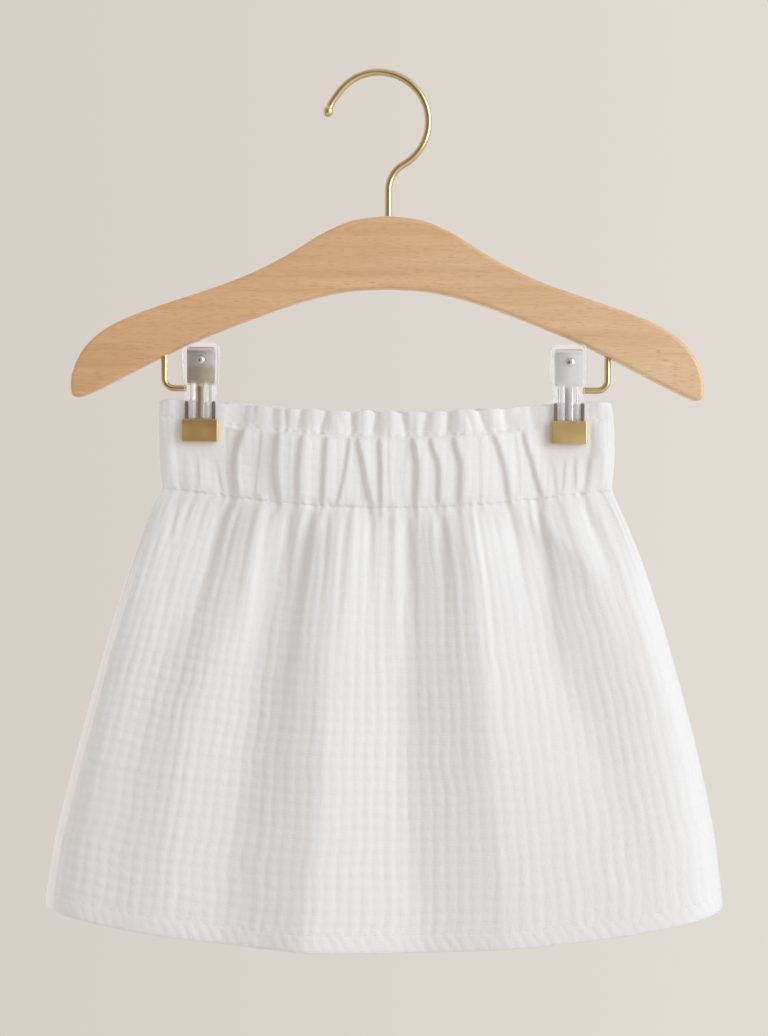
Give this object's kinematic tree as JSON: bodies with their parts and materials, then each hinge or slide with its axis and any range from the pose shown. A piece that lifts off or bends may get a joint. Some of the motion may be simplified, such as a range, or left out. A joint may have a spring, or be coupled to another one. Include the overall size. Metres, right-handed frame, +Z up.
{
  "type": "gauze skirt on clip hanger",
  "caption": "Child's gathered gauze skirt with a paper-bag waist, clipped by its waistband to a wooden hanger with a wire hook.",
  "frame": {"origin": "inside of the hook's crest, where a rail carries the hanger", "axes": "+Z up, +X to the right seen from the front, the front of the skirt faces -Y"},
  "size_m": [0.3426, 0.0731, 0.4419],
  "materials": {
    "gauze": "crinkled white cotton double gauze, matt",
    "beech": "satin lacquered beech",
    "brass_wire": "polished",
    "brass_cap": "satin",
    "clear_plastic": "clear, gloss",
    "spring_steel": "bright"
  },
  "bodies": {
    "root": {"skirt_front": "gauze", "skirt_back": "gauze", "waistband_front": "gauze", "waistband_back": "gauze", "hanger_wood": "beech", "hanger_hook": "brass_wire", "arm_left": "brass_wire", "arm_right": "brass_wire", "clip_left_leaf_front": "clear_plastic", "clip_left_leaf_back": "clear_plastic", "clip_right_leaf_front": "clear_plastic", "clip_right_leaf_back": "clear_plastic", "clip_left_spring": "spring_steel", "clip_right_spring": "spring_steel", "clip_left_jaw_front": "brass_cap", "clip_left_jaw_back": "brass_cap", "clip_right_jaw_front": "brass_cap", "clip_right_jaw_back": "brass_cap"}
  },
  "joints": []
}
